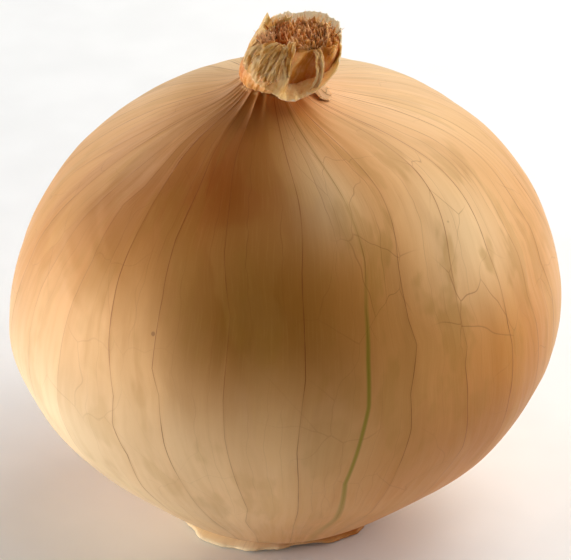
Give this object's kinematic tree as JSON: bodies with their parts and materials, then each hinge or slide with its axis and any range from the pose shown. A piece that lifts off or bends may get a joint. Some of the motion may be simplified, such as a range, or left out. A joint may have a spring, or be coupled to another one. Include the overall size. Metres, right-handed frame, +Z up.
{
  "type": "onion",
  "caption": "Whole dry onion with papery ribbed skin, a withered cut neck and a root plate, standing on its base.",
  "frame": {"origin": "on the ground under the middle of the bulb's box, which is about the middle of its girth", "axes": "+Z up through the neck, -Y towards the viewer, +X to the right"},
  "size_m": [0.0848, 0.0843, 0.0841],
  "materials": {
    "bulb_skin": "semi-gloss papery dry skin, golden brown with darker lengthwise veins",
    "dry_neck": "matte, dry, wrinkled and frayed, straw to brown",
    "root_plate": "matte, dry, corky with trimmed roots"
  },
  "bodies": {
    "root": {"bulb": "bulb_skin", "neck": "dry_neck", "root_plate": "root_plate"}
  },
  "joints": []
}
